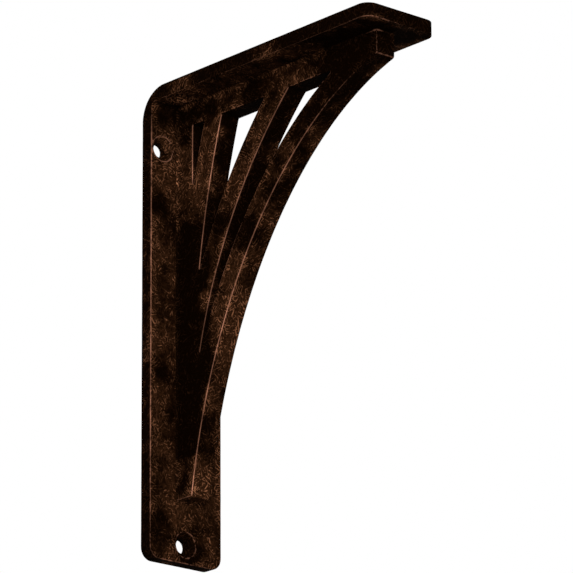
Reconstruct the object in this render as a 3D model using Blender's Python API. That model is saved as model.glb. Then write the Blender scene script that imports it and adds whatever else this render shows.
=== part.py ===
"""A wall bracket of wrought iron: a flat bar bent once into an angle, with an openwork web welded into it.

The wall is the plane y = 0 and the bracket stands out of it towards -Y, with +Z up. The origin is on the
back of the wall leg, half way up it and in the middle of its width. Lengths are in metres.
"""

import bmesh
import bpy
import numpy as np
from mathutils import Matrix, Vector

# The strap, a flat bar bent into a wall leg and a top leg
WIDTH = 0.0508
THICKNESS = 0.0079
HEIGHT = 0.2704
REACH = 0.1875
OUTER_BEND = 0.0185
INNER_BEND = 0.003
END_CORNER = 0.007
STRAP_ARRIS = 0.0007

# The countersunk screw holes: one at the foot, two high in the wall leg and two in the top leg
HOLE_RADIUS = 0.004
SINK_RADIUS = 0.007
SINK_DEPTH = 0.0035
FOOT_HOLE_UP = 0.0107
PAIR_ACROSS = 0.017
WALL_PAIR_UP = HEIGHT - 0.034
TOP_PAIR_OUT = 0.0224

# The web, an upright plate on the middle of the strap's inner side
PLATE = 0.0128
SEAT_GAP = 0.0003
FRAME_BAR = 0.0125
CURVED_BAR = 0.0127
FOOT_UP = 0.0348
NOSE_OUT = 0.1741
PLATE_ARRIS = 0.0008
PLATE_CORNER = 0.0016
GAP_CORNER = 0.0014
GAP_TIP = 0.0011

# The curves of the web, as (out from the wall, up from the foot): a quarter of an ellipse for its outer
# edge, and the circles of the two inner bars' outer edges
ARC_CENTRE = (0.2101, -0.0242)
ARC_SEMI_AXES = (0.1941, 0.2780)
MIDDLE_BAR_CENTRE = (0.2952, 0.0530)
MIDDLE_BAR_RADIUS = 0.2762
INNER_BAR_CENTRE = (0.5601, 0.0890)
INNER_BAR_RADIUS = 0.5394

SEAT_OUT = THICKNESS + SEAT_GAP
SEAT_UP = HEIGHT - THICKNESS - SEAT_GAP
UPRIGHT_OUT = THICKNESS + FRAME_BAR
RAIL_UP = HEIGHT - THICKNESS - FRAME_BAR

CORNER_SEGMENTS = 6
HOLE_SEGMENTS = 28
OUTER_CURVE_POINTS = 34
GAP_CURVE_POINTS = 16
FINE_CURVE_POINTS = 4000
CUT_MARGIN = 0.001
MERGE_WITHIN = 0.000002
ARRIS_ANGLE = np.radians(60)
CREASE_ANGLE = np.radians(30)


def place(across, out, up):
    """The world point that is `across` from the middle plane, `out` from the wall and `up` from the foot."""
    return Vector((across, -out, up - HEIGHT / 2))


def iron(name, colour, roughness):
    """A dark iron surface with a rubbed, slightly metallic coat."""
    material = bpy.data.materials.new(name)
    material.use_nodes = True
    shader = material.node_tree.nodes["Principled BSDF"]
    shader.inputs["Base Color"].default_value = (*colour, 1.0)
    shader.inputs["Roughness"].default_value = roughness
    shader.inputs["Metallic"].default_value = 0.5
    return material


def add_object(name, mesh, material):
    """Links a mesh to the scene as an object of its own."""
    item = bpy.data.objects.new(name, mesh)
    bpy.context.collection.objects.link(item)
    mesh.materials.clear()
    mesh.materials.append(material)
    return item


def rounded(corners):
    """A closed outline from (out, up, radius) corners, each radius above zero turned into an arc."""
    outline = []
    for index, (out, up, radius) in enumerate(corners):
        corner = np.array((out, up))
        if radius == 0:
            outline.append(corner)
            continue
        before = np.array(corners[index - 1][:2]) - corner
        after = np.array(corners[(index + 1) % len(corners)][:2]) - corner
        before /= np.linalg.norm(before)
        after /= np.linalg.norm(after)
        half_angle = np.arccos(np.clip(before @ after, -1, 1)) / 2
        middle = (before + after) / np.linalg.norm(before + after)
        centre = corner + middle * radius / np.sin(half_angle)
        start = corner + before * radius / np.tan(half_angle) - centre
        end = corner + after * radius / np.tan(half_angle) - centre
        for share in np.linspace(0, 1, CORNER_SEGMENTS + 1):
            arm = start * (1 - share) + end * share
            outline.append(centre + arm * radius / np.linalg.norm(arm))
    return np.array(outline)


# The strap


def strap_body():
    """The angle's side profile drawn out across its width, with its ends and its arrises rounded."""
    profile = rounded([
        (0, 0, 0),
        (THICKNESS, 0, 0),
        (THICKNESS, HEIGHT - THICKNESS, INNER_BEND),
        (REACH, HEIGHT - THICKNESS, 0),
        (REACH, HEIGHT, 0),
        (0, HEIGHT, OUTER_BEND),
    ])
    solid = bmesh.new()
    ring = [solid.verts.new(place(-WIDTH / 2, out, up)) for out, up in profile]
    side = solid.faces.new(ring)
    grown = bmesh.ops.extrude_face_region(solid, geom=[side])
    moved = [item for item in grown["geom"] if isinstance(item, bmesh.types.BMVert)]
    bmesh.ops.translate(solid, verts=moved, vec=(WIDTH, 0, 0))
    bmesh.ops.recalc_face_normals(solid, faces=solid.faces)

    foot = place(0, 0, 0).z
    tip = place(0, REACH, 0).y
    touch = STRAP_ARRIS / 10

    def across_an_end(edge):
        """Whether an edge runs through the bar's thickness at the foot or at the tip."""
        a, b = (vert.co for vert in edge.verts)
        if abs(a.x - b.x) > touch:
            return False
        at_foot = abs(a.z - foot) < touch and abs(b.z - foot) < touch
        at_tip = abs(a.y - tip) < touch and abs(b.y - tip) < touch
        return at_foot or at_tip

    ends = [edge for edge in solid.edges if across_an_end(edge)]
    bmesh.ops.bevel(solid, geom=ends, offset=END_CORNER, segments=CORNER_SEGMENTS, profile=0.5, affect="EDGES")
    sharp = [edge for edge in solid.edges if edge.calc_face_angle(0) > ARRIS_ANGLE]
    bmesh.ops.bevel(solid, geom=sharp, offset=STRAP_ARRIS, segments=2, profile=0.5, affect="EDGES")
    mesh = bpy.data.meshes.new("strap")
    solid.to_mesh(mesh)
    solid.free()
    return mesh


def screw_cutter(name, position, towards_head, material):
    """A turned cutter for one screw hole: a straight bore that opens in a cone towards the screw's head.

    `position` is the middle of the cone's mouth, on the bar's inner side.
    """
    overrun = CUT_MARGIN * (SINK_RADIUS - HOLE_RADIUS) / SINK_DEPTH
    profile = [
        (0, -THICKNESS - CUT_MARGIN),
        (HOLE_RADIUS, -THICKNESS - CUT_MARGIN),
        (HOLE_RADIUS, -SINK_DEPTH),
        (SINK_RADIUS + overrun, CUT_MARGIN),
        (0, CUT_MARGIN),
    ]
    turned = bmesh.new()
    line = [turned.verts.new((radius, 0, height)) for radius, height in profile]
    edges = [turned.edges.new(pair) for pair in zip(line[:-1], line[1:])]
    bmesh.ops.spin(turned, geom=line + edges, cent=(0, 0, 0), axis=(0, 0, 1), angle=2 * np.pi,
                   steps=HOLE_SEGMENTS, use_duplicate=False)
    bmesh.ops.remove_doubles(turned, verts=turned.verts, dist=MERGE_WITHIN)
    bmesh.ops.recalc_face_normals(turned, faces=turned.faces)
    mesh = bpy.data.meshes.new(name)
    turned.to_mesh(mesh)
    turned.free()
    cutter = add_object(name, mesh, material)
    turn = Vector((0, 0, 1)).rotation_difference(Vector(towards_head))
    cutter.matrix_world = Matrix.Translation(position) @ turn.to_matrix().to_4x4()
    cutter.hide_render = True
    cutter.display_type = "WIRE"
    return cutter


def make_strap(material):
    """The bent bar with its five screw holes."""
    strap = add_object("strap", strap_body(), material)
    out_of_wall = (0, -1, 0)
    down = (0, 0, -1)
    under = HEIGHT - THICKNESS
    holes = [("foot_screw", place(0, THICKNESS, FOOT_HOLE_UP), out_of_wall)]
    for side, across in (("left", -PAIR_ACROSS), ("right", PAIR_ACROSS)):
        holes.append((f"wall_screw_{side}", place(across, THICKNESS, WALL_PAIR_UP), out_of_wall))
        holes.append((f"top_screw_{side}", place(across, TOP_PAIR_OUT, under), down))
    for name, position, towards_head in holes:
        cut = strap.modifiers.new(name, "BOOLEAN")
        cut.operation = "DIFFERENCE"
        cut.solver = "EXACT"
        cut.object = screw_cutter(name, position, towards_head, material)
    strap.data.shade_smooth()
    strap.data.set_sharp_from_angle(angle=CREASE_ANGLE)
    return strap


# The web


def circle_at(centre, radius, up):
    """How far out the wall side of a circle is at the heights `up`."""
    return centre[0] - np.sqrt(radius**2 - (up - centre[1]) ** 2)


def outer_edge(inset, count):
    """Points of the web's outer edge, from its foot to its nose, moved `inset` into the plate.

    The edge is a quarter of an ellipse, and a point moves in along the ellipse's normal.
    """
    centre = np.array(ARC_CENTRE)
    semi = np.array(ARC_SEMI_AXES)
    first = np.arccos((centre[0] - UPRIGHT_OUT) / semi[0])
    last = np.arccos((centre[0] - NOSE_OUT) / semi[0])
    turn = np.linspace(first, last, count)
    direction = np.column_stack((-np.cos(turn), np.sin(turn)))
    normal = direction / semi
    normal /= np.linalg.norm(normal, axis=1, keepdims=True)
    return centre + direction * semi + normal * inset


def gap_outline(left_edge, right_edge):
    """A pointed gap between two edges, closed by the rail above and by a small round at its tip.

    Each edge gives how far out it is at a height. The tip is where the two come within twice GAP_TIP.
    """
    heights = np.linspace(FOOT_UP, RAIL_UP, FINE_CURVE_POINTS)
    open_at = heights[right_edge(heights) - left_edge(heights) > 2 * GAP_TIP]
    ups = np.linspace(open_at[0], RAIL_UP, GAP_CURVE_POINTS)
    right = [(right_edge(up), up, 0) for up in ups]
    left = [(left_edge(up), up, 0) for up in ups[::-1]]
    right[-1] = (*right[-1][:2], GAP_CORNER)
    left[0] = (*left[0][:2], GAP_CORNER)
    middle = (left[-1][0] + right[0][0]) / 2
    turn = np.linspace(np.pi, 2 * np.pi, CORNER_SEGMENTS + 1)[1:-1]
    tip = [(middle + GAP_TIP * np.cos(a), ups[0] + GAP_TIP * np.sin(a), 0) for a in turn]
    return rounded(right + left + tip)


def web_outlines():
    """The plate's outline and its three gaps, each a closed row of (out, up) points."""
    arc = [(*point, 0) for point in outer_edge(0, OUTER_CURVE_POINTS)]
    outline = rounded([
        (SEAT_OUT, SEAT_UP, INNER_BEND),
        (SEAT_OUT, FOOT_UP, PLATE_CORNER),
        (*arc[0][:2], PLATE_CORNER),
        *arc[1:-1],
        (*arc[-1][:2], PLATE_CORNER),
        (NOSE_OUT, SEAT_UP, PLATE_CORNER),
    ])
    inner_side = outer_edge(CURVED_BAR, FINE_CURVE_POINTS)

    def upright_edge(up):
        return UPRIGHT_OUT + 0 * up

    def inner_bar_left(up):
        return circle_at(INNER_BAR_CENTRE, INNER_BAR_RADIUS + CURVED_BAR, up)

    def inner_bar_right(up):
        return circle_at(INNER_BAR_CENTRE, INNER_BAR_RADIUS, up)

    def middle_bar_left(up):
        return circle_at(MIDDLE_BAR_CENTRE, MIDDLE_BAR_RADIUS + CURVED_BAR, up)

    def middle_bar_right(up):
        return circle_at(MIDDLE_BAR_CENTRE, MIDDLE_BAR_RADIUS, up)

    def outer_bar_left(up):
        return np.interp(up, inner_side[:, 1], inner_side[:, 0])

    return [
        outline,
        gap_outline(upright_edge, inner_bar_left),
        gap_outline(inner_bar_right, middle_bar_left),
        gap_outline(middle_bar_right, outer_bar_left),
    ]


def make_web(material):
    """The plate: a flat curve with its gaps as inner rings, filled, thickened and rounded at its arrises."""
    drawing = bpy.data.curves.new("web", "CURVE")
    drawing.dimensions = "2D"
    drawing.fill_mode = "BOTH"
    drawing.extrude = PLATE / 2 - PLATE_ARRIS
    drawing.bevel_depth = PLATE_ARRIS
    drawing.bevel_resolution = 1
    drawing.offset = -PLATE_ARRIS
    for ring in web_outlines():
        spline = drawing.splines.new("POLY")
        spline.points.add(len(ring) - 1)
        spline.use_cyclic_u = True
        rows = np.column_stack((ring[:, 0], ring[:, 1] - HEIGHT / 2, np.zeros(len(ring)), np.ones(len(ring))))
        spline.points.foreach_set("co", rows.ravel())
    flat = bpy.data.objects.new("web_drawing", drawing)
    mesh = bpy.data.meshes.new_from_object(flat)
    bpy.data.objects.remove(flat)

    plate = bmesh.new()
    plate.from_mesh(mesh)
    bmesh.ops.remove_doubles(plate, verts=plate.verts, dist=MERGE_WITHIN)
    # The drawing lies flat as (out, up, across) and stands up as (across, -out, up).
    stand = Matrix(((0, 0, 1), (-1, 0, 0), (0, 1, 0))).to_4x4()
    bmesh.ops.transform(plate, matrix=stand, verts=plate.verts)
    bmesh.ops.recalc_face_normals(plate, faces=plate.faces)
    plate.to_mesh(mesh)
    plate.free()
    web = add_object("web", mesh, material)
    mesh.shade_smooth()
    mesh.set_sharp_from_angle(angle=CREASE_ANGLE)
    return web


for item in list(bpy.data.objects):
    bpy.data.objects.remove(item, do_unlink=True)

make_strap(iron("strap_iron", (0.035, 0.018, 0.011), 0.55))
make_web(iron("web_iron", (0.040, 0.020, 0.012), 0.55))
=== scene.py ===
"""The looks of a wrought iron wall bracket: its rubbed bronze iron, worn edges with painted highlights and
shade, welds, light and camera.
"""

import math

import bmesh
import bpy
import numpy as np
from mathutils import Matrix, Vector
from mathutils.geometry import delaunay_2d_cdt


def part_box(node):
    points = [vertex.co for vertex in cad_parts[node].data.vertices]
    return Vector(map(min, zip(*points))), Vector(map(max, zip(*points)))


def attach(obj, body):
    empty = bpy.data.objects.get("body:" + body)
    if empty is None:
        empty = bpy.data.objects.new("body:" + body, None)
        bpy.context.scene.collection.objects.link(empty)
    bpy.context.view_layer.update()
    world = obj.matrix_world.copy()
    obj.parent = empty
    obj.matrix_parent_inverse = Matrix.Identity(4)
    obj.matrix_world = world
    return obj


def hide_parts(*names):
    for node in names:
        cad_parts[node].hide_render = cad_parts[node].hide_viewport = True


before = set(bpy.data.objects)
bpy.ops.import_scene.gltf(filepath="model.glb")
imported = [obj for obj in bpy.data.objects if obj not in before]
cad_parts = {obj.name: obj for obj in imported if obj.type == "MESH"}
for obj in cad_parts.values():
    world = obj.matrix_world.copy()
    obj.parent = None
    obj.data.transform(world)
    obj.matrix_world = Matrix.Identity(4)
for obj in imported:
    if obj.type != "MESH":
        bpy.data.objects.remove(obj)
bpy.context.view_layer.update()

# The strap is a flat iron bar, bent once into a wall leg and a top leg. Its ends have rounded corners, it is
# drilled and countersunk for flat-head screws, and every arris is eased. Its front arrises are rubbed bright
# and painted with a highlight, and its back ones are painted with shade. It is drawn as a flat plate, with
# "along" running up the wall leg and out along the top leg, and then bent.

STRAP_LOW, STRAP_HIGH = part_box("strap")
WEB_LOW, WEB_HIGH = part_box("web")
HEIGHT = STRAP_HIGH.z - STRAP_LOW.z
REACH = STRAP_HIGH.y - STRAP_LOW.y
WIDTH = STRAP_HIGH.x - STRAP_LOW.x
SEAT_GAP = 0.0003
THICKNESS = -WEB_HIGH.y - SEAT_GAP
OUTER_BEND = 0.0185
INNER_BEND = 0.003
END_CORNER = 0.007
STRAP_ARRIS = 0.0003

HOLE_RADIUS = 0.004
SINK_RADIUS = 0.007
SINK_DEPTH = 0.0035
SINK_RIM = 0.0005
HOLE_POINTS = 40
FOOT_HOLE_UP = 0.0107
PAIR_ACROSS = 0.017
WALL_PAIR_UP = HEIGHT - 0.034
TOP_PAIR_OUT = 0.0224

STEP = 0.0011
KEPT_CLEAR = 0.6 * STEP
FINE = 0.0001
TURN_STEP = 0.3
ARC_POINTS = 25
ARRIS_STEPS = 4
WALL_STEPS = 7
MERGE_WITHIN = 2e-6
BLOCK = 1500
EDGE_LAYER = "edge_distance"
HOLLOW_AND_SHADE_LAYER = "hollow"
DULLED = 0.0004
UNEVENNESS = 0.00004
WAVES = ((310, 190, 150), (-130, 260, 210), (90, -340, 420))

INNER_TURN_UP = HEIGHT - THICKNESS - INNER_BEND
OUTER_TURN_UP = HEIGHT - OUTER_BEND
INNER_ARC = INNER_BEND * math.pi / 2
ALONG_TO_OUT = INNER_TURN_UP + INNER_ARC - THICKNESS - INNER_BEND
OUTER_TURN_END = ALONG_TO_OUT + OUTER_BEND
STRAP_LENGTH = ALONG_TO_OUT + REACH


def bend(along, across, depth):
    """Carries points of the flat plate onto the bent strap.

    The inner side goes straight up, round a small quarter circle and straight out. The outer side goes up,
    round a large quarter circle and out. A point lies between the two by its depth over the thickness.
    """
    turn = np.clip((along - INNER_TURN_UP) / INNER_BEND, 0, math.pi / 2)
    past = np.maximum(along - INNER_TURN_UP - INNER_ARC, 0)
    inner_out = THICKNESS + INNER_BEND * (1 - np.cos(turn)) + past
    inner_up = np.minimum(along, INNER_TURN_UP) + INNER_BEND * np.sin(turn)
    share = np.clip((along - OUTER_TURN_UP) / (OUTER_TURN_END - OUTER_TURN_UP), 0, 1)
    turn = share * math.pi / 2
    outer_out = OUTER_BEND * (1 - np.cos(turn)) + np.maximum(along - OUTER_TURN_END, 0)
    outer_up = np.minimum(along, OUTER_TURN_UP) + OUTER_BEND * np.sin(turn)
    share = depth / THICKNESS
    out = inner_out + (outer_out - inner_out) * share
    up = inner_up + (outer_up - inner_up) * share
    return np.column_stack((across, -out, up + STRAP_LOW.z))


def finely(corners):
    """A closed outline from (first, second, radius) corners, with arcs for the radii, in fine equal steps.

    An arc's centre lies on the corner's bisector, at the radius over the sine of half the corner's angle.
    """
    corners = np.array(corners, float)
    place = corners[:, :2]
    rounded = corners[:, 2] > 0
    corner, radius = place[rounded], corners[rounded, 2:]
    before = np.roll(place, 1, 0)[rounded] - corner
    after = np.roll(place, -1, 0)[rounded] - corner
    before /= np.linalg.norm(before, axis=1, keepdims=True)
    after /= np.linalg.norm(after, axis=1, keepdims=True)
    half_angle = np.arccos(np.clip((before * after).sum(1, keepdims=True), -1, 1)) / 2
    bisector = (before + after) / np.linalg.norm(before + after, axis=1, keepdims=True)
    centre = corner + bisector * radius / np.sin(half_angle)
    first_arm = before * radius / np.tan(half_angle) + corner - centre
    last_arm = after * radius / np.tan(half_angle) + corner - centre
    share = np.linspace(0, 1, ARC_POINTS)[:, None]
    arms = first_arm[:, None] * (1 - share) + last_arm[:, None] * share
    arcs = centre[:, None] + arms / np.linalg.norm(arms, axis=2, keepdims=True) * radius[:, None]
    counts = np.where(rounded, ARC_POINTS, 1)
    ring = np.repeat(place, counts, axis=0)
    ring[np.repeat(rounded, counts)] = arcs.reshape(-1, 2)
    closed = np.vstack((ring, ring[:1]))
    travelled = np.r_[0, np.cumsum(np.linalg.norm(np.diff(closed, axis=0), axis=1))]
    places = np.arange(0, travelled[-1], FINE)
    return np.column_stack([np.interp(places, travelled, closed[:, axis]) for axis in (0, 1)])


def paced(ring):
    """Points along a fine closed outline, and the unit normals to its left, where the metal is.

    The step is STEP on straight stretches, and TURN_STEP times the radius where the outline turns. The
    radius is the length of a short stretch over the angle that it turns by.
    """
    reach = 4
    tangent = np.roll(ring, -reach, 0) - np.roll(ring, reach, 0)
    heading = np.arctan2(tangent[:, 1], tangent[:, 0])
    turned = np.angle(np.exp(1j * (np.roll(heading, -reach) - np.roll(heading, reach))))
    curvature = np.abs(turned) / (2 * reach * FINE)
    rate = np.maximum(1 / STEP, curvature / TURN_STEP)
    travelled = np.r_[0, np.cumsum(rate)]
    count = math.ceil(travelled[-1] * FINE)
    evenly = np.linspace(0, travelled[-1], count, endpoint=False)
    places = np.interp(evenly, travelled, np.arange(len(ring) + 1))
    left = np.column_stack((-tangent[:, 1], tangent[:, 0]))
    table = np.column_stack((ring, left))
    table = np.vstack((table, table[:1]))
    points = np.column_stack([np.interp(places, np.arange(len(table)), column) for column in table.T])
    normals = points[:, 2:] / np.linalg.norm(points[:, 2:], axis=1, keepdims=True)
    return points[:, :2], normals


def eased_edge(thickness, arris, wall_steps, hollow, proud=0, back_arris_shade=0):
    """The profile of a plate's edge, as rows of (inset, depth, distance from the nearest arris, hollow and
    painted shade).

    A quarter circle turns from the front face into the wall, and another from the wall into the back face.
    The edge stands `proud` of the outline. The wall is `hollow` where less rubbing reaches it. The back
    arris is darkened with painted shade, as strong as the last argument, and its distance from an arris is
    raised by DULLED, so that the painted highlight stays on the front arris.
    """
    turn = np.linspace(0, math.pi / 2, ARRIS_STEPS)
    inset = arris * (1 - np.sin(turn)) - proud
    depth = arris * (1 - np.cos(turn))
    front = np.column_stack((inset, depth, 0 * turn, hollow * np.sin(turn)))
    # The back arris is darkened by the hollow and by painted shade.
    hollow_and_shade = (hollow + back_arris_shade) * np.sin(turn)
    back = np.column_stack((inset, thickness - depth, DULLED + 0 * turn, hollow_and_shade))[::-1]
    wall = np.linspace(arris, thickness - arris, wall_steps)[1:-1]
    distance = np.minimum(wall, thickness - wall) - arris
    middle = np.column_stack((0 * wall - proud, wall, distance, hollow + 0 * wall))
    return np.vstack((front, middle, back))


def carried(points, normals, profile, dulled=0):
    """A profile carried along a closed outline: rows of (first, second, depth, distance, hollow and painted
    shade), and quads.

    Each of the profile's points lies off the outline by its inset, along the outline's normal. Where the
    outline is `dulled`, its arrises count as further away, so that they are less worn and less painted with
    highlight.
    """
    grid = np.empty((len(profile), len(points), 5))
    grid[:, :, :2] = points + normals * profile[:, None, :1]
    grid[:, :, 2:] = profile[:, None, 1:]
    grid[:, :, 3] += dulled
    rows, columns = grid.shape[:2]
    row, column = np.meshgrid(np.arange(rows - 1), np.arange(columns), indexing="ij")
    beside = (column + 1) % columns
    quads = np.stack((row * columns + column, row * columns + beside,
                      (row + 1) * columns + beside, (row + 1) * columns + column), axis=-1)
    return grid.reshape(-1, 5), quads.reshape(-1, 4)


def clearance(points, rings):
    """How far each point lies inside the metal, or below zero outside it.

    The size is the distance to the nearest outline segment. A point is inside where a line from it crosses
    the outlines an odd number of times. Blocks of points keep the memory small.
    """
    start = np.vstack(rings)
    end = np.vstack([np.roll(ring, -1, 0) for ring in rings])
    run = end - start
    result = []
    for block in np.array_split(points, max(1, len(points) // BLOCK)):
        offset = block[:, None] - start
        share = np.clip((offset * run).sum(2) / (run * run).sum(1), 0, 1)
        nearest = np.linalg.norm(offset - share[:, :, None] * run, axis=2).min(1)
        level = (start[:, 1] > block[:, None, 1]) != (end[:, 1] > block[:, None, 1])
        rise = np.where(run[:, 1] == 0, 1, run[:, 1])
        crossing = start[:, 0] + (block[:, None, 1] - start[:, 1]) * run[:, 0] / rise
        inside = (level & (block[:, None, 0] < crossing)).sum(1) % 2 == 1
        result.append(np.where(inside, nearest, -nearest))
    return np.concatenate(result)


def filled(rings, depth):
    """A plate's face: a grid of points between the outlines, joined to them by Delaunay triangles.

    The grid's rows are the height of an even triangle apart, and every other row is moved by half a step.
    """
    low, high = rings[0].min(0), rings[0].max(0)
    rise = STEP * math.sqrt(0.75)
    first, second = np.meshgrid(np.arange(low[0], high[0], STEP), np.arange(low[1], high[1], rise))
    first[1::2] += STEP / 2
    inner = np.column_stack((first.ravel(), second.ravel()))
    room = clearance(inner, rings)
    kept = room > KEPT_CLEAR
    inner, room = inner[kept], room[kept]
    borders = np.vstack(rings)
    sizes = np.array([len(ring) for ring in rings])
    ends = np.cumsum(sizes)
    following = np.arange(len(borders)) + 1
    following[ends - 1] = ends - sizes
    edges = list(zip(range(len(borders)), following.tolist()))
    points = np.vstack((borders, inner))
    found = delaunay_2d_cdt(list(map(Vector, points.tolist())), edges, [], 1, 1e-9)
    triangles = np.array(found[2])
    between = (triangles < len(borders)).all(1)
    middles = points[triangles[between]].mean(1)
    between[between] = clearance(middles, rings) < 0
    triangles = triangles[~between]
    room = np.r_[np.zeros(len(borders)), room]
    face = np.column_stack((points, np.full(len(points), depth), room, 0 * room))
    return face, triangles


def plate_parts(edges):
    """The faces and edges of a plate, from (points, normals, profile, dulled) for each of its outlines."""
    parts = [carried(*edge) for edge in edges]
    for row in (0, -1):
        rings = [points + normals * profile[row, 0] for points, normals, profile, _ in edges]
        parts.append(filled(rings, edges[0][2][row, 1]))
    return parts


def piece(name, parts, shape):
    """A mesh object from parts, each of rows and faces, with the rows carried into place by `shape`.

    Its borders are merged and its faces turned outwards. Its surface is sunk along its normals by up to
    UNEVENNESS, where slow sine waves that cross each other are high.
    """
    rows = np.vstack([part[0] for part in parts])
    starts = np.cumsum([0] + [len(part[0]) for part in parts])
    faces = [face for start, part in zip(starts, parts) for face in (part[1] + start).tolist()]
    mesh = bpy.data.meshes.new(name)
    mesh.from_pydata(shape(*rows[:, :3].T), [], faces)
    for layer_name, values in ((EDGE_LAYER, rows[:, 3] * 1000), (HOLLOW_AND_SHADE_LAYER, rows[:, 4])):
        mesh.attributes.new(layer_name, "FLOAT", "POINT").data.foreach_set("value", values)
    solid = bmesh.new()
    solid.from_mesh(mesh)
    bmesh.ops.remove_doubles(solid, verts=solid.verts, dist=MERGE_WITHIN)
    bmesh.ops.recalc_face_normals(solid, faces=solid.faces)
    solid.to_mesh(mesh)
    solid.free()
    place = np.empty(len(mesh.vertices) * 3)
    mesh.vertices.foreach_get("co", place)
    place = place.reshape(-1, 3)
    normals = np.empty(len(mesh.vertices) * 3)
    mesh.vertex_normals.foreach_get("vector", normals)
    first, second, third = (place @ wave for wave in WAVES)
    wave = (np.sin(first) * np.sin(second + 1) + np.sin(third + 2)) / 4 + 0.5
    mesh.vertices.foreach_set("co", (place - normals.reshape(-1, 3) * wave[:, None] * UNEVENNESS).ravel())
    mesh.shade_smooth()
    item = bpy.data.objects.new(name, mesh)
    bpy.context.collection.objects.link(item)
    return item


def screw_hole(along, across, dulled):
    """A countersunk hole's outline, drawn with the metal on its left, and the profile through the bar.

    The outline is a circle. The profile starts outside the countersink's rim, goes down a cone to the hole's
    radius, straight through the bar and out over the back's rim.
    """
    turn = -np.linspace(0, 2 * math.pi, HOLE_POINTS, endpoint=False)
    outward = np.column_stack((np.cos(turn), np.sin(turn)))
    slope = (SINK_RADIUS - HOLE_RADIUS) / SINK_DEPTH
    radius_depth = np.array([
        (SINK_RADIUS + SINK_RIM, 0),
        (SINK_RADIUS + SINK_RIM / 3, SINK_RIM / 6),
        (SINK_RADIUS - slope * SINK_RIM, SINK_RIM),
        (SINK_RADIUS - slope * 0.4 * SINK_DEPTH, 0.4 * SINK_DEPTH),
        (SINK_RADIUS - slope * 0.7 * SINK_DEPTH, 0.7 * SINK_DEPTH),
        (HOLE_RADIUS + SINK_RIM / 4, SINK_DEPTH - SINK_RIM / 4),
        (HOLE_RADIUS, SINK_DEPTH + SINK_RIM / 2),
        (HOLE_RADIUS, (SINK_DEPTH + THICKNESS) / 2),
        (HOLE_RADIUS, THICKNESS - SINK_RIM),
        (HOLE_RADIUS + SINK_RIM / 3, THICKNESS - SINK_RIM / 4),
        (HOLE_RADIUS + SINK_RIM, THICKNESS),
    ])
    distance = np.array([0.46, 0.20, 0.38, 1.0, 1.6, 0.9, 1.4, 2.2, 1.6, 1.0, 0.8]) / 1000
    hollow = [0, 0, 0, 0, 0.1, 0.4, 1, 1, 1, 0.5, 0]
    profile = np.column_stack((radius_depth[:, 0] - HOLE_RADIUS, radius_depth[:, 1], distance, hollow))
    profile[:, 2] += dulled
    return (along, across) + outward * HOLE_RADIUS, outward, profile, 0


strap_outline = finely([
    (0, -WIDTH / 2, END_CORNER),
    (STRAP_LENGTH, -WIDTH / 2, END_CORNER),
    (STRAP_LENGTH, WIDTH / 2, END_CORNER),
    (0, WIDTH / 2, END_CORNER),
])
strap_points, strap_normals = paced(strap_outline)

# The arrises' wear and painted highlight are bright along the wall leg, less near its foot and past the bend,
# and most round the tip's corner.
past_bend = np.clip(strap_points[:, 0] / INNER_TURN_UP * 20 - 19, 0, 1)
low_down = np.clip(1.6 - strap_points[:, 0] / 0.045, 0, 1)
from_tip_corner = np.hypot(strap_points[:, 0] - STRAP_LENGTH, strap_points[:, 1] + WIDTH / 2 - END_CORNER)
at_tip_corner = np.exp(-((from_tip_corner / (2 * END_CORNER)) ** 2))
strap_dulled = DULLED * (0.12 + 0.78 * past_bend + 0.36 * low_down - 0.62 * at_tip_corner)
# The strap's back arris is painted with shade, a dark line along it.
strap_side = eased_edge(THICKNESS, STRAP_ARRIS, WALL_STEPS, hollow=0.95, back_arris_shade=1.35)

strap_edges = [(strap_points, strap_normals, strap_side, strap_dulled), screw_hole(FOOT_HOLE_UP, 0, 0)]
for side in (-1, 1):
    strap_edges.append(screw_hole(WALL_PAIR_UP, side * PAIR_ACROSS, 0))
    strap_edges.append(screw_hole(ALONG_TO_OUT + TOP_PAIR_OUT, side * PAIR_ACROSS, 0.6 * DULLED))
strap = piece("bent_strap", plate_parts(strap_edges), bend)


class Wire:
    """A socket whose sums, differences and products with numbers or sockets add Math nodes."""

    def __init__(self, finish, socket):
        self.finish = finish
        self.socket = socket

    def _join(self, operation, first, second):
        return self.finish.node("ShaderNodeMath", {"operation": operation}, {0: first, 1: second})

    def __add__(self, other):
        return self._join("ADD", self, other)

    def __radd__(self, other):
        return self._join("ADD", other, self)

    def __sub__(self, other):
        return self._join("SUBTRACT", self, other)

    def __rsub__(self, other):
        return self._join("SUBTRACT", other, self)

    def __mul__(self, other):
        return self._join("MULTIPLY", self, other)

    def __rmul__(self, other):
        return self._join("MULTIPLY", other, self)


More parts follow.
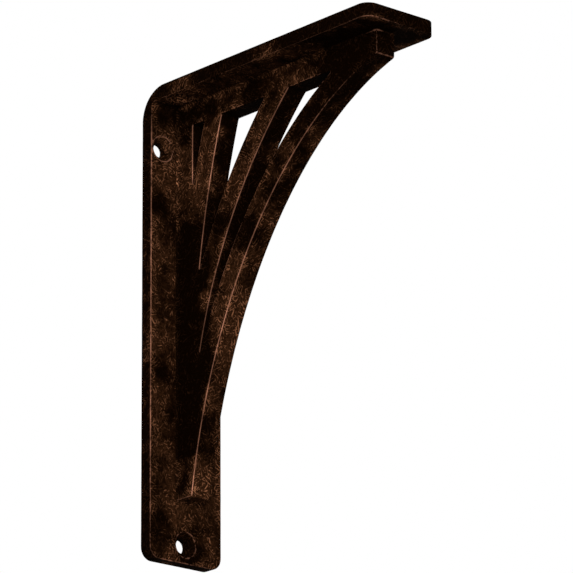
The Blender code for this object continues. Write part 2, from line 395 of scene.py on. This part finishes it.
class Finish:
    """The nodes of a new material or world, and the shader that it starts with."""

    def __init__(self, owner, shader="Principled BSDF"):
        owner.use_nodes = True
        self.owner = owner
        self.tree = owner.node_tree
        self.shader = self.tree.nodes[shader]

    def node(self, kind, settings, inputs, output=0):
        """Adds a node, makes its settings, then sets or links its sockets, and gives back one output."""
        added = self.tree.nodes.new(kind)
        for name, value in settings.items():
            setattr(added, name, value)
        for name, value in inputs.items():
            self.connect(added.inputs[name], value)
        return Wire(self, added.outputs[output])

    def connect(self, socket, value):
        """Links a wire to a socket, or sets the socket to a plain value."""
        if isinstance(value, Wire):
            self.tree.links.new(value.socket, socket)
        else:
            socket.default_value = value

    def ramp(self, value, low, high):
        """A smooth step from 0 at `low` to 1 at `high`, and level beyond them. `low` may be the larger."""
        rising = low < high
        inputs = {"Value": value, "From Min": min(low, high), "From Max": max(low, high),
                  "To Min": 0.0 if rising else 1.0, "To Max": 1.0 if rising else 0.0}
        return self.node("ShaderNodeMapRange", {"interpolation_type": "SMOOTHSTEP"}, inputs)

    def noise(self, place, scale, detail=2.0, roughness=0.5, output="Fac"):
        """A smooth noise with `scale` bumps to the metre, and finer noises of half the size laid on it."""
        inputs = {"Vector": place, "Scale": scale, "Detail": detail, "Roughness": roughness}
        return self.node("ShaderNodeTexNoise", {}, inputs, output)

    def blend(self, share, first, second):
        """A mix of two colours, each an (r, g, b) or a socket."""
        colours = [item if isinstance(item, Wire) else (*item, 1.0) for item in (first, second)]
        inputs = {0: share, 6: colours[0], 7: colours[1]}
        return self.node("ShaderNodeMix", {"data_type": "RGBA"}, inputs, 2)


# The finish's colours run from the soot that stays in hollows, which also serves as painted shade, to the
# bare metal of the arrises, which also serves as their painted highlight. Each layer of strokes has its cells
# and breaks to the metre, its lines' spacing in metres, and the noise levels between which a stroke fades in.
SOOT_AND_SHADE = (0.0027, 0.0008, 0.00004)
UMBER = (0.0380, 0.0142, 0.0056)
COPPER = (0.325, 0.134, 0.064)
RUBBED_AND_HIGHLIT = (0.420, 0.185, 0.115)

HAIR = 0.00024
STROKES = (
    {"cells": 230, "spacing": 0.0014, "breaks": 330, "share": (0.50, 0.66), "at_edge": 0.12, "strength": 0.9},
    {"cells": 310, "spacing": 0.0017, "breaks": 400, "share": (0.50, 0.66), "at_edge": 0.08, "strength": 0.8},
    {"cells": 130, "spacing": 0.0026, "breaks": 220, "share": (0.55, 0.67), "at_edge": 0.00, "strength": 1.1},
    {"cells": 40, "spacing": 0.0120, "breaks": 80, "share": (0.60, 0.66), "at_edge": 0.00, "strength": 1.2},
)


def strokes(finish, place, swayed, layer, look):
    """Fine curved lines in dabs: the space is cut into cells, and each cell has its own way to lie.

    In a cell, the swayed place's distance along the cell's random direction is folded into even lines. Each
    line is broken into strokes by a noise that starts from a place of its own.
    """
    shifted = finish.node("ShaderNodeMapping", {"vector_type": "POINT"},
                          {"Vector": place, "Location": (0, layer + 1.0, 0)})
    lean = finish.node("ShaderNodeTexVoronoi", {}, {"Vector": shifted, "Scale": look["cells"]}, "Color")
    lean = finish.node("ShaderNodeVectorMath", {"operation": "SUBTRACT"}, {0: lean, 1: (0.5, 0.5, 0.5)})
    lean = finish.node("ShaderNodeVectorMath", {"operation": "NORMALIZE"}, {0: lean})
    along = finish.node("ShaderNodeVectorMath", {"operation": "DOT_PRODUCT"}, {0: swayed, 1: lean}, "Value")
    line = finish.node("ShaderNodeMath", {"operation": "PINGPONG"}, {0: along, 1: look["spacing"] / 2})
    number = finish.node("ShaderNodeMath", {"operation": "ROUND"}, {0: along * (1 / look["spacing"])})
    jump = finish.node("ShaderNodeVectorMath", {"operation": "SCALE"}, {0: lean, "Scale": number * 0.13})
    own = finish.node("ShaderNodeVectorMath", {"operation": "ADD"}, {0: shifted, 1: jump})
    return finish.ramp(line, HAIR, 0.25 * HAIR), finish.noise(own, look["breaks"], 1.0)


def rubbed_bronze(name, seed, edge_shine, edge_width, patches):
    """Near-black iron with blotches of brown, hair-fine copper scratches that curve, and bright worn edges
    that also carry a painted highlight.

    The blotches are a noise that is lifted or lowered by the patches and stepped smoothly. The scratches
    show most on the blotches. The arrises are worn bright and painted with a highlight for about
    `edge_width`, in millimetres, where the distance from them and a fine noise together stay low, so that
    they are ragged.
    """
    finish = Finish(bpy.data.materials.new(name))
    here = finish.node("ShaderNodeTexCoord", {}, {}, "Object")
    place = finish.node("ShaderNodeMapping", {"vector_type": "POINT"},
                        {"Vector": here, "Location": (seed, 0, 0)})
    sway = finish.noise(place, 110, 1.0, output="Color")
    sway = finish.node("ShaderNodeVectorMath", {"operation": "SCALE"}, {0: sway, "Scale": 0.0035})
    swayed = finish.node("ShaderNodeVectorMath", {"operation": "ADD"}, {0: place, 1: sway})
    distance = finish.node("ShaderNodeAttribute", {"attribute_name": EDGE_LAYER}, {}, "Fac")
    hollow = finish.node("ShaderNodeAttribute", {"attribute_name": HOLLOW_AND_SHADE_LAYER}, {}, "Fac")
    fringe = finish.ramp(distance, 7.0, 0.0)

    # The hollow layer darkens the hollows, and also paints shade along the strap's back arris.
    level = finish.noise(place, 72, 4.0, 0.62) - 0.22 * hollow + 0.03 * fringe
    for centre, radius, lift in patches:
        near = finish.node("ShaderNodeVectorMath", {"operation": "DISTANCE"}, {0: here, 1: centre}, "Value")
        level = level + finish.ramp(near, radius, radius * 0.4) * lift
    blotch = finish.ramp(level, 0.32, 0.74)
    thick = finish.ramp(finish.noise(place, 150, 3.0, 0.6) + 0.06 * fringe, 0.42, 0.64)
    mottle = finish.ramp(finish.noise(place, 700, 3.0, 0.7), 0.36, 0.68)

    hairs = None
    for layer, look in enumerate(STROKES):
        line, breaks = strokes(finish, place, swayed, layer, look)
        line = line * finish.ramp(breaks + fringe * look["at_edge"], *look["share"]) * look["strength"]
        hairs = line if hairs is None else hairs + line * (1 - hairs)

    ragged = finish.noise(place, 420, 4.0, 0.75)
    stretch = finish.ramp(finish.noise(place, 60, 3.0, 0.6), 0.40, 0.56)
    # The arrises' bright band is partly wear and partly a painted highlight, kept to the arrises that face
    # the front light.
    worn_and_highlit = finish.ramp(distance * (0.35 / edge_width) + ragged, 0.85, 0.50)
    worn_and_highlit = worn_and_highlit * (0.5 + 0.5 * stretch) * edge_shine

    body = finish.blend(blotch * (0.25 + 0.75 * mottle), SOOT_AND_SHADE, UMBER)
    body = finish.blend(hairs * (0.20 + 0.80 * thick) * (0.05 + 0.95 * blotch), body, COPPER)
    body = finish.blend(worn_and_highlit * (0.34 + 0.52 * blotch), body, RUBBED_AND_HIGHLIT)
    finish.connect(finish.shader.inputs["Base Color"], body)
    finish.connect(finish.shader.inputs["Roughness"], 0.66 - 0.12 * blotch - 0.12 * hairs - 0.14 * worn_and_highlit)
    finish.connect(finish.shader.inputs["Metallic"], 0.3 * hairs * blotch + 0.4 * worn_and_highlit)
    finish.shader.inputs["Specular IOR Level"].default_value = 0.004
    height = hairs * 0.6 + mottle * 0.4 + blotch * 0.4
    bump = finish.node("ShaderNodeBump", {}, {"Height": height, "Strength": 0.4, "Distance": 0.0002})
    finish.connect(finish.shader.inputs["Normal"], bump)
    return finish.owner


# Each patch is a place, a radius and a lift: the iron there is rubbed browner, or left darker below zero,
# except where a patch is said to paint shade or highlight.
STRAP_PATCHES = (
    ((-0.0200, -0.0079, 0.0000), 0.120, 0.035),
    ((-0.0042, -0.0079, -0.1016), 0.016, 0.12),
    ((0.0211, -0.0079, -0.0784), 0.024, 0.16),
    ((0.0138, -0.0079, -0.1040), 0.012, 0.14),
    ((0.0000, -0.0079, -0.1245), 0.014, -0.24),
    ((-0.0184, -0.0079, -0.1193), 0.014, -0.14),
    ((-0.0080, -0.0079, -0.1344), 0.011, 0.14),
    ((-0.0150, -0.0079, -0.0430), 0.018, -0.14),
    ((-0.0215, -0.0079, -0.0400), 0.013, 0.14),
    ((-0.0215, -0.0079, -0.0060), 0.016, 0.12),
    ((-0.0130, -0.0079, 0.0830), 0.012, 0.12),
    ((-0.0118, -0.0079, 0.0545), 0.015, -0.12),
    ((-0.0135, -0.0079, 0.1186), 0.016, -0.08),
    ((-0.0254, -0.0032, 0.0700), 0.014, -0.18),
    ((-0.0254, -0.0325, 0.1310), 0.014, 0.14),
    ((-0.0254, -0.0668, 0.1314), 0.016, -0.14),
    ((-0.0254, -0.1005, 0.1318), 0.014, 0.14),
    ((-0.0108, -0.0455, 0.1273), 0.018, 0.10),
    # These two patches paint shade on the underside of the top leg towards its tip.
    ((-0.0215, -0.1461, 0.1273), 0.028, -0.16),
    ((0.0000, -0.1800, 0.1273), 0.040, -0.16),
    # This patch browns the tip's lower corner, as wear and as a painted highlight.
    ((-0.0180, -0.1900, 0.1210), 0.014, 0.30),
)
strap_iron = rubbed_bronze("strap_iron", seed=0.0, edge_shine=1.1, edge_width=0.30, patches=STRAP_PATCHES)
strap.data.materials.append(strap_iron)
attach(strap, "root")
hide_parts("strap")

# The web is an openwork plate of the same iron, cut in one piece: an upright, a top rail, an outer bar on an
# elliptical curve and two inner bars that spring from it. It stands upright on the middle of the strap's
# inner side, and the pointed gaps between its bars are cut a little narrower all round than they are drawn.

PLATE = WEB_HIGH.x - WEB_LOW.x
FRAME_BAR = 0.0125
CURVED_BAR = 0.0127
FOOT_UP = WEB_LOW.z - STRAP_LOW.z
NOSE_OUT = -WEB_LOW.y
PLATE_ARRIS = 0.0003
PLATE_CORNER = 0.0016
GAP_CORNER = 0.0014
GAP_TIP = 0.0011
SINK_IN = 0.0004
GAP_PROUD = 0.0006
BAR_FULLER = 0.0003
NOSE_PART = 0.003
NOSE_WORN_AND_HIGHLIT = 0.0006
EDGE_STEPS = 9
ARC_STEPS = 1500
HEIGHT_STEPS = 6000

ARC_CENTRE = (0.2101, -0.0242)
ARC_SEMI_AXES = (0.1941, 0.2780)
MIDDLE_BAR_CENTRE = (0.2952, 0.0530)
MIDDLE_BAR_RADIUS = 0.2762
INNER_BAR_CENTRE = (0.5601, 0.0890)
INNER_BAR_RADIUS = 0.5394

UPRIGHT_OUT = THICKNESS + FRAME_BAR
RAIL_UP = HEIGHT - THICKNESS - FRAME_BAR


def outer_edge(inset):
    """The web's outer edge from foot to nose: part of an ellipse, moved into the plate along its normal.

    A point lies off the centre by the semi-axes times a turn's cosine, towards the wall, and its sine, up.
    """
    centre, semi = np.array(ARC_CENTRE), np.array(ARC_SEMI_AXES)
    first = np.arccos((centre[0] - UPRIGHT_OUT) / semi[0])
    last = np.arccos((centre[0] - NOSE_OUT) / semi[0])
    turn = np.linspace(first, last, ARC_STEPS)
    direction = np.column_stack((-np.cos(turn), np.sin(turn)))
    normal = direction / semi
    normal /= np.linalg.norm(normal, axis=1, keepdims=True)
    return centre + direction * semi + normal * inset


def bar_edge(centre, radius):
    """A function that gives how far out a bar's round edge is at a height, by Pythagoras on its radius."""
    return lambda up: centre[0] - np.sqrt(radius**2 - (up - centre[1]) ** 2)


def gap(left_edge, right_edge):
    """A pointed gap between two edges, drawn clockwise: the rail above it, and a small round at its tip.

    The edges are followed down to where they are twice GAP_TIP apart, and a half circle joins them there.
    """
    heights = np.linspace(FOOT_UP, RAIL_UP, HEIGHT_STEPS)
    ups = heights[right_edge(heights) - left_edge(heights) > 2 * GAP_TIP]
    ups = ups[ups < RAIL_UP - 2.5 * GAP_CORNER][::8]
    left = np.column_stack((left_edge(ups), ups, 0 * ups))
    right = np.column_stack((right_edge(ups), ups, 0 * ups))[::-1]
    corners = [(left_edge(RAIL_UP), RAIL_UP, GAP_CORNER), (right_edge(RAIL_UP), RAIL_UP, GAP_CORNER)]
    turn = np.linspace(0, -math.pi, ARC_POINTS)[1:-1]
    middle = (left[0, 0] + right[-1, 0]) / 2
    tip = np.column_stack((middle + GAP_TIP * np.cos(turn), ups[0] + GAP_TIP * np.sin(turn), 0 * turn))
    return finely(np.vstack((left, corners, right, tip)))


def stand(out, up, across):
    """Carries points of the flat drawing to the web's place, with its depth running across the bracket."""
    return np.column_stack((across - PLATE / 2, -out, up + STRAP_LOW.z))


arc = outer_edge(0)
inner_side = outer_edge(CURVED_BAR)
seat_out = THICKNESS - SINK_IN
seat_up = HEIGHT - THICKNESS + SINK_IN
web_outline = finely(np.vstack((
    [(seat_out, FOOT_UP, PLATE_CORNER), (*arc[0], PLATE_CORNER)],
    np.column_stack((arc[10:-10], np.zeros(len(arc) - 20))),
    [(*arc[-1], PLATE_CORNER), (NOSE_OUT, seat_up, PLATE_CORNER), (seat_out, seat_up, INNER_BEND)],
)))
web_gaps = [
    gap(lambda up: UPRIGHT_OUT + 0 * up, bar_edge(INNER_BAR_CENTRE, INNER_BAR_RADIUS + CURVED_BAR)),
    gap(bar_edge(INNER_BAR_CENTRE, INNER_BAR_RADIUS - BAR_FULLER),
        bar_edge(MIDDLE_BAR_CENTRE, MIDDLE_BAR_RADIUS + CURVED_BAR)),
    gap(bar_edge(MIDDLE_BAR_CENTRE, MIDDLE_BAR_RADIUS - BAR_FULLER),
        lambda up: np.interp(up, inner_side[:, 1], inner_side[:, 0])),
]


def web_edge(ring, hollow, proud):
    """One outline of the web with its profile.

    Its arrises are dulled where they don't face away from the wall, and a little at the nose in any case, so
    that the painted highlight stays on the arrises that face the front light.
    """
    points, normals = paced(ring)
    turned_away = 1 - np.clip(-1.4 * normals[:, 0], 0, 1)
    dulled = DULLED * np.maximum(turned_away, 0.4 * (points[:, 0] > NOSE_OUT - NOSE_PART))
    return points, normals, eased_edge(PLATE, PLATE_ARRIS, EDGE_STEPS, hollow, proud), dulled


web_edges = [web_edge(web_outline, hollow=0, proud=0)]
web_edges += [web_edge(ring, hollow=1, proud=GAP_PROUD) for ring in web_gaps]
web_parts = plate_parts(web_edges)

# The nose's lower corner is worn and painted with a highlight right across the plate.
walls = web_parts[0][0]
from_nose = np.hypot(walls[:, 0] - arc[-1, 0], walls[:, 1] - arc[-1, 1])
walls[:, 3] = np.minimum(walls[:, 3], np.maximum(from_nose - NOSE_WORN_AND_HIGHLIT, 0.0001))

web = piece("openwork_web", web_parts, stand)

WEB_PATCHES = (
    ((-0.0124, -0.0140, -0.0600), 0.0220, -0.45),
    ((-0.0124, -0.0150, -0.0420), 0.0230, -0.45),
    ((-0.0124, -0.0160, -0.0240), 0.0240, -0.45),
    ((-0.0124, -0.0170, -0.0060), 0.0240, -0.45),
    ((-0.0124, -0.0170, 0.0120), 0.0240, -0.45),
    ((-0.0124, -0.0170, 0.0300), 0.0240, -0.40),
    ((-0.0124, -0.0180, 0.0460), 0.0200, -0.25),
    ((-0.0144, -0.0300, -0.0270), 0.0190, -0.36),
    ((-0.0144, -0.0380, -0.0090), 0.0170, -0.32),
    ((-0.0064, -0.0270, 0.0085), 0.0110, 0.50),
    ((-0.0064, -0.0140, -0.0970), 0.0130, -0.12),
    ((-0.0064, -0.0140, 0.1150), 0.0140, -0.14),
    ((-0.0064, -0.0140, 0.0900), 0.0150, 0.12),
    ((-0.0064, -0.0300, 0.0780), 0.0180, 0.20),
    ((-0.0064, -0.0385, 0.1030), 0.0150, 0.13),
    ((-0.0064, -0.0273, 0.1240), 0.0120, -0.12),
    ((-0.0064, -0.0743, 0.1215), 0.0150, -0.18),
    ((-0.0064, -0.0995, 0.1230), 0.0130, 0.06),
    ((-0.0064, -0.0598, 0.0745), 0.0130, 0.14),
    ((-0.0064, -0.0462, 0.0547), 0.0140, -0.14),
    ((-0.0064, -0.0377, 0.0336), 0.0110, -0.12),
    ((-0.0064, -0.1116, 0.0900), 0.0130, -0.18),
    ((-0.0064, -0.0639, 0.0386), 0.0140, -0.24),
    ((-0.0064, -0.0529, 0.0200), 0.0120, 0.20),
    ((-0.0064, -0.1201, 0.1230), 0.0120, -0.08),
    ((-0.0164, -0.1486, 0.1169), 0.0260, -0.40),
    ((-0.0164, -0.1687, 0.1169), 0.0240, -0.30),
    ((0.0000, -0.1780, 0.1180), 0.0150, -0.34),
    ((0.0000, -0.1380, 0.0980), 0.0260, -0.24),
    ((0.0000, -0.0890, 0.0560), 0.0180, -0.14),
    ((0.0020, -0.0465, -0.0085), 0.0260, 0.34),
    ((0.0020, -0.0290, -0.0690), 0.0150, -0.06),
    ((0.0000, -0.0280, -0.0970), 0.0180, 0.46),
)
web_iron = rubbed_bronze("web_iron", seed=3.7, edge_shine=1.1, edge_width=0.22, patches=WEB_PATCHES)
web.data.materials.append(web_iron)
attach(web, "root")
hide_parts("web")

# The weld is a thin bead of iron where the web meets the strap, laid all round the web's foot. It is rippled
# as the welder's hand moved along. Its crest is rubbed bright in dots with a painted highlight, and worn and
# painted brighter near the nose.

BEAD_LEG = 0.0011
BEAD_RADIUS = 0.85 * BEAD_LEG
BEAD_SUNK = 0.0003
BEAD_ROWS = 6
RIPPLE_LENGTH = 0.0021
RIPPLE_DEPTH = 0.14
SWELL_DEPTH = 0.10
BEAD_WORN_AND_HIGHLIT = 0.007


def bead(points, normals):
    """A fillet carried round the web's foot: a hollow quarter circle between the strap and the web.

    It swells and shrinks with the sine of the way travelled, on which slower waves are laid. Its back goes
    into the strap and the web by BEAD_SUNK.
    """
    travelled = np.r_[0, np.cumsum(np.linalg.norm(np.diff(points, axis=0), axis=1))]
    phase = travelled / RIPPLE_LENGTH * 2 * math.pi
    swell = 1 + RIPPLE_DEPTH * np.sin(phase + 1.5 * np.sin(phase / 7.3)) + SWELL_DEPTH * np.sin(phase / 11.7)
    turn = np.linspace(0, math.pi / 2, BEAD_ROWS)
    away = np.r_[BEAD_RADIUS * (1 - np.sin(turn)), -BEAD_SUNK, -BEAD_SUNK]
    high = np.r_[BEAD_RADIUS * (1 - np.cos(turn)), BEAD_LEG, -BEAD_SUNK]
    distance = np.array([2.0, 1.2, 0.3, 0.3, 1.2, 2.0, 3.0, 3.0]) / 1000
    loop = np.column_stack((away, high, distance))
    loop = np.vstack((loop, loop[:1]))
    grid = np.empty((len(loop), len(points), 5))
    grid[:, :, :2] = points + normals * (loop[:, :1] * swell)[:, :, None]
    grid[:, :, 2] = -loop[:, 1:2] * swell
    from_nose = np.hypot(points[:, 0] - ALONG_TO_OUT - NOSE_OUT, points[:, 1] + PLATE / 2)
    grid[:, :, 3] = loop[:, 2:] * (1 - 0.95 * np.exp(-((from_nose / BEAD_WORN_AND_HIGHLIT) ** 2)))
    grid[:, :, 4] = 0
    quads = carried(points, normals, np.zeros((len(loop), 4)))[1]
    return grid.reshape(-1, 5), quads


footprint = finely([
    (FOOT_UP, -PLATE / 2, PLATE_CORNER),
    (FOOT_UP, PLATE / 2, PLATE_CORNER),
    (ALONG_TO_OUT + NOSE_OUT, PLATE / 2, PLATE_CORNER),
    (ALONG_TO_OUT + NOSE_OUT, -PLATE / 2, PLATE_CORNER),
])
weld = piece("weld_bead", [bead(*paced(footprint))], bend)
weld.data.materials.append(web_iron)
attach(weld, "root")

# The camera stands low in front of the bracket and to its left, looks up at it, and frames it closely. Its
# place and angles are those of the photograph.

CAMERA_PLACE = (-1.56868, -1.87242, -0.61766 + STRAP_LOW.z)
CAMERA_YAW = math.radians(41.39)
CAMERA_PITCH = math.radians(17.68)
CAMERA_ROLL = math.radians(0.32)
FOCAL_PIXELS = 4594
PHOTO_PIXELS = 573
SENSOR_WIDTH = 36.0

forward = Vector((
    math.sin(CAMERA_YAW) * math.cos(CAMERA_PITCH),
    math.cos(CAMERA_YAW) * math.cos(CAMERA_PITCH),
    math.sin(CAMERA_PITCH),
))
sideways = Vector((math.cos(CAMERA_YAW), -math.sin(CAMERA_YAW), 0))
down = forward.cross(sideways)
right = math.cos(CAMERA_ROLL) * sideways + math.sin(CAMERA_ROLL) * down
down = -math.sin(CAMERA_ROLL) * sideways + math.cos(CAMERA_ROLL) * down
view = bpy.data.cameras.new("camera")
view.sensor_width = SENSOR_WIDTH
view.lens = SENSOR_WIDTH * FOCAL_PIXELS / PHOTO_PIXELS
view.clip_end = 200.0
camera = bpy.data.objects.new("camera", view)
turned = Matrix((right, -down, -forward)).transposed().to_4x4()
camera.matrix_world = Matrix.Translation(CAMERA_PLACE) @ turned
bpy.context.collection.objects.link(camera)
bpy.context.scene.camera = camera

# The floor is a plain pale ground far below the bracket. The light is a warm room with a large soft light in
# front and a weaker one behind, and the camera sees plain white beyond the floor.

FLOOR_DROP = 2.4
FLOOR_RADIUS = 60.0
FLOOR_SIDES = 96
FLOOR_PALE = (0.80, 0.80, 0.79, 1.0)
FLOOR_ROUGHNESS = 0.9
ROOM_WARM = (1.0, 0.94, 0.87, 1.0)
ROOM_STRENGTH = 0.33
BACKDROP_WHITE = (1.0, 1.0, 1.0, 1.0)
LAMP_SIZE = 1.1
LAMP_TARGET = (0, -REACH / 2, 0)

ground = bmesh.new()
bmesh.ops.create_circle(ground, cap_ends=True, radius=FLOOR_RADIUS, segments=FLOOR_SIDES)
bmesh.ops.translate(ground, verts=ground.verts, vec=(0, 0, -FLOOR_DROP))
floor_mesh = bpy.data.meshes.new("floor")
ground.to_mesh(floor_mesh)
ground.free()
floor = bpy.data.objects.new("floor", floor_mesh)
bpy.context.collection.objects.link(floor)
pale = Finish(bpy.data.materials.new("pale_floor"))
pale.shader.inputs["Base Color"].default_value = FLOOR_PALE
pale.shader.inputs["Roughness"].default_value = FLOOR_ROUGHNESS
floor_mesh.materials.append(pale.owner)

room = Finish(bpy.data.worlds.new("room"), "Background")
room.shader.inputs["Color"].default_value = ROOM_WARM
room.shader.inputs["Strength"].default_value = ROOM_STRENGTH
backdrop = room.node("ShaderNodeBackground", {}, {"Color": BACKDROP_WHITE})
seen = room.node("ShaderNodeLightPath", {}, {}, "Is Camera Ray")
either = room.node("ShaderNodeMixShader", {}, {0: seen, 1: Wire(room, room.shader.outputs[0]), 2: backdrop})
room.connect(room.tree.nodes["World Output"].inputs["Surface"], either)
bpy.context.scene.world = room.owner


def soft_light(name, place, power):
    """A square area light that faces the middle of the bracket."""
    lamp = bpy.data.lights.new(name, "AREA")
    lamp.size = LAMP_SIZE
    lamp.energy = power
    item = bpy.data.objects.new(name, lamp)
    item.location = place
    item.rotation_euler = (Vector(LAMP_TARGET) - Vector(place)).to_track_quat("-Z", "Y").to_euler()
    bpy.context.collection.objects.link(item)


soft_light("front_light", (-1.5, -1.7, 0.1), power=48)
soft_light("back_light", (1.7, 1.7, 0.7), power=20)

bpy.context.scene.view_settings.view_transform = "Standard"
